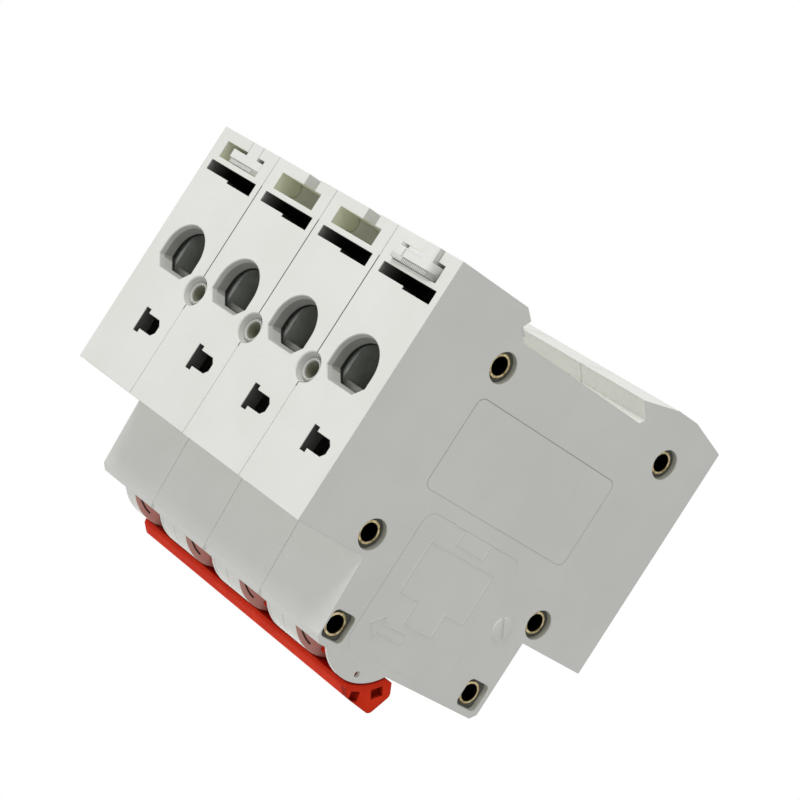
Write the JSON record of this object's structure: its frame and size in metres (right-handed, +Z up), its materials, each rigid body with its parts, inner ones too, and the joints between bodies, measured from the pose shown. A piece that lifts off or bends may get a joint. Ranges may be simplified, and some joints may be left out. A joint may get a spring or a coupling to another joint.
{
  "type": "miniature circuit breaker",
  "caption": "Multi-pole dc miniature circuit breaker for a 35 mm rail, with joined toggles, screw clamp terminals at both ends, hollow rivets and sliding rail clips.",
  "frame": {"origin": "centre of the rail seat: middle of the row of poles, on the floor of the rail notch, midway between the rail's edges", "axes": "+X across the poles to the right seen from the front, -Y towards the front with the toggles, +Z up as mounted"},
  "size_m": [0.072, 0.0728, 0.0803],
  "materials": {
    "housing": "fine-grained moulded thermoset, warm white",
    "handle": "smooth moulded, red",
    "clip": "smooth moulded, white",
    "rivet": "rolled hollow rivet, dull",
    "screw": "zinc plated",
    "cage": "zinc plated",
    "copper": "bare copper",
    "coil": "enamelled copper wire",
    "chute": "plated steel plates in fibre cards",
    "bimetal": "rolled strip"
  },
  "bodies": {
    "housing": {"hollow_rivets": "rivet", "base_1": "housing", "cover_1": "housing", "fixed_contact_1": "copper", "trip_coil_1": "coil", "arc_chute_1": "chute", "bimetal_1": "bimetal", "base_2": "housing", "cover_2": "housing", "fixed_contact_2": "copper", "trip_coil_2": "coil", "arc_chute_2": "chute", "bimetal_2": "bimetal", "base_3": "housing", "cover_3": "housing", "fixed_contact_3": "copper", "trip_coil_3": "coil", "arc_chute_3": "chute", "bimetal_3": "bimetal", "base_4": "housing", "cover_4": "housing", "fixed_contact_4": "copper", "trip_coil_4": "coil", "arc_chute_4": "chute", "bimetal_4": "bimetal"},
    "handle": {"toggle_1": "handle", "toggle_2": "handle", "toggle_3": "handle", "toggle_4": "handle", "handle_bar": "handle"},
    "contact_arms": {"contact_arm_1": "copper", "contact_arm_2": "copper", "contact_arm_3": "copper", "contact_arm_4": "copper"},
    "rail_clip_left": {"rail_clip_1": "clip"},
    "rail_clip_right": {"rail_clip_4": "clip"},
    "lower_screw_1": {"lower_screw_1": "screw"},
    "lower_cage_1": {"lower_cage_1": "cage"},
    "upper_screw_1": {"upper_screw_1": "screw"},
    "upper_cage_1": {"upper_cage_1": "cage"},
    "lower_screw_2": {"lower_screw_2": "screw"},
    "lower_cage_2": {"lower_cage_2": "cage"},
    "upper_screw_2": {"upper_screw_2": "screw"},
    "upper_cage_2": {"upper_cage_2": "cage"},
    "lower_screw_3": {"lower_screw_3": "screw"},
    "lower_cage_3": {"lower_cage_3": "cage"},
    "upper_screw_3": {"upper_screw_3": "screw"},
    "upper_cage_3": {"upper_cage_3": "cage"},
    "lower_screw_4": {"lower_screw_4": "screw"},
    "lower_cage_4": {"lower_cage_4": "cage"},
    "upper_screw_4": {"upper_screw_4": "screw"},
    "upper_cage_4": {"upper_cage_4": "cage"}
  },
  "joints": [
    {"name": "handle_hinge", "type": "hinge", "parent": "housing", "child": "handle", "pos_m": [0, -0.0531, -0.0104], "axis": [1, 0, 0], "range_deg": [0, 53]},
    {"name": "contact_arm_hinge", "type": "hinge", "parent": "housing", "child": "contact_arms", "pos_m": [0, -0.036, 0.002], "axis": [1, 0, 0], "range_deg": [-20.1, 0]},
    {"name": "rail_clip_left_slide", "type": "slide", "parent": "housing", "child": "rail_clip_left", "axis": [0, 0, -1], "range_m": [-0.001, 0.0026]},
    {"name": "rail_clip_right_slide", "type": "slide", "parent": "housing", "child": "rail_clip_right", "axis": [0, 0, -1], "range_m": [0, 0.0036]},
    {"name": "lower_screw_1_turn", "type": "hinge", "parent": "housing", "child": "lower_screw_1", "pos_m": [-0.027, -0.03, -0.0316], "axis": [0, 1, 0], "range_deg": [0, 3330]},
    {"name": "lower_cage_1_slide", "type": "slide", "parent": "housing", "child": "lower_cage_1", "axis": [0, -1, 0], "range_m": [0, 0.0074]},
    {"name": "upper_screw_1_turn", "type": "hinge", "parent": "housing", "child": "upper_screw_1", "pos_m": [-0.027, -0.03, 0.0316], "axis": [0, 1, 0], "range_deg": [0, 3330]},
    {"name": "upper_cage_1_slide", "type": "slide", "parent": "housing", "child": "upper_cage_1", "axis": [0, -1, 0], "range_m": [0, 0.0074]},
    {"name": "lower_screw_2_turn", "type": "hinge", "parent": "housing", "child": "lower_screw_2", "pos_m": [-0.009, -0.03, -0.0316], "axis": [0, 1, 0], "range_deg": [0, 3330]},
    {"name": "lower_cage_2_slide", "type": "slide", "parent": "housing", "child": "lower_cage_2", "axis": [0, -1, 0], "range_m": [0, 0.0074]},
    {"name": "upper_screw_2_turn", "type": "hinge", "parent": "housing", "child": "upper_screw_2", "pos_m": [-0.009, -0.03, 0.0316], "axis": [0, 1, 0], "range_deg": [0, 3330]},
    {"name": "upper_cage_2_slide", "type": "slide", "parent": "housing", "child": "upper_cage_2", "axis": [0, -1, 0], "range_m": [0, 0.0074]},
    {"name": "lower_screw_3_turn", "type": "hinge", "parent": "housing", "child": "lower_screw_3", "pos_m": [0.009, -0.03, -0.0316], "axis": [0, 1, 0], "range_deg": [0, 3330]},
    {"name": "lower_cage_3_slide", "type": "slide", "parent": "housing", "child": "lower_cage_3", "axis": [0, -1, 0], "range_m": [0, 0.0074]},
    {"name": "upper_screw_3_turn", "type": "hinge", "parent": "housing", "child": "upper_screw_3", "pos_m": [0.009, -0.03, 0.0316], "axis": [0, 1, 0], "range_deg": [0, 3330]},
    {"name": "upper_cage_3_slide", "type": "slide", "parent": "housing", "child": "upper_cage_3", "axis": [0, -1, 0], "range_m": [0, 0.0074]},
    {"name": "lower_screw_4_turn", "type": "hinge", "parent": "housing", "child": "lower_screw_4", "pos_m": [0.027, -0.03, -0.0316], "axis": [0, 1, 0], "range_deg": [0, 3330]},
    {"name": "lower_cage_4_slide", "type": "slide", "parent": "housing", "child": "lower_cage_4", "axis": [0, -1, 0], "range_m": [0, 0.0074]},
    {"name": "upper_screw_4_turn", "type": "hinge", "parent": "housing", "child": "upper_screw_4", "pos_m": [0.027, -0.03, 0.0316], "axis": [0, 1, 0], "range_deg": [0, 3330]},
    {"name": "upper_cage_4_slide", "type": "slide", "parent": "housing", "child": "upper_cage_4", "axis": [0, -1, 0], "range_m": [0, 0.0074]}
  ],
  "couplings": [
    {"joint": "contact_arm_hinge", "follows": "handle_hinge", "ratio": -0.37736},
    {"joint": "lower_screw_1_turn", "follows": "lower_cage_1_slide", "rad_per_m": 7853.9},
    {"joint": "upper_screw_1_turn", "follows": "upper_cage_1_slide", "rad_per_m": 7853.9},
    {"joint": "lower_screw_2_turn", "follows": "lower_cage_2_slide", "rad_per_m": 7853.9},
    {"joint": "upper_screw_2_turn", "follows": "upper_cage_2_slide", "rad_per_m": 7853.9},
    {"joint": "lower_screw_3_turn", "follows": "lower_cage_3_slide", "rad_per_m": 7853.9},
    {"joint": "upper_screw_3_turn", "follows": "upper_cage_3_slide", "rad_per_m": 7853.9},
    {"joint": "lower_screw_4_turn", "follows": "lower_cage_4_slide", "rad_per_m": 7853.9},
    {"joint": "upper_screw_4_turn", "follows": "upper_cage_4_slide", "rad_per_m": 7853.9}
  ]
}
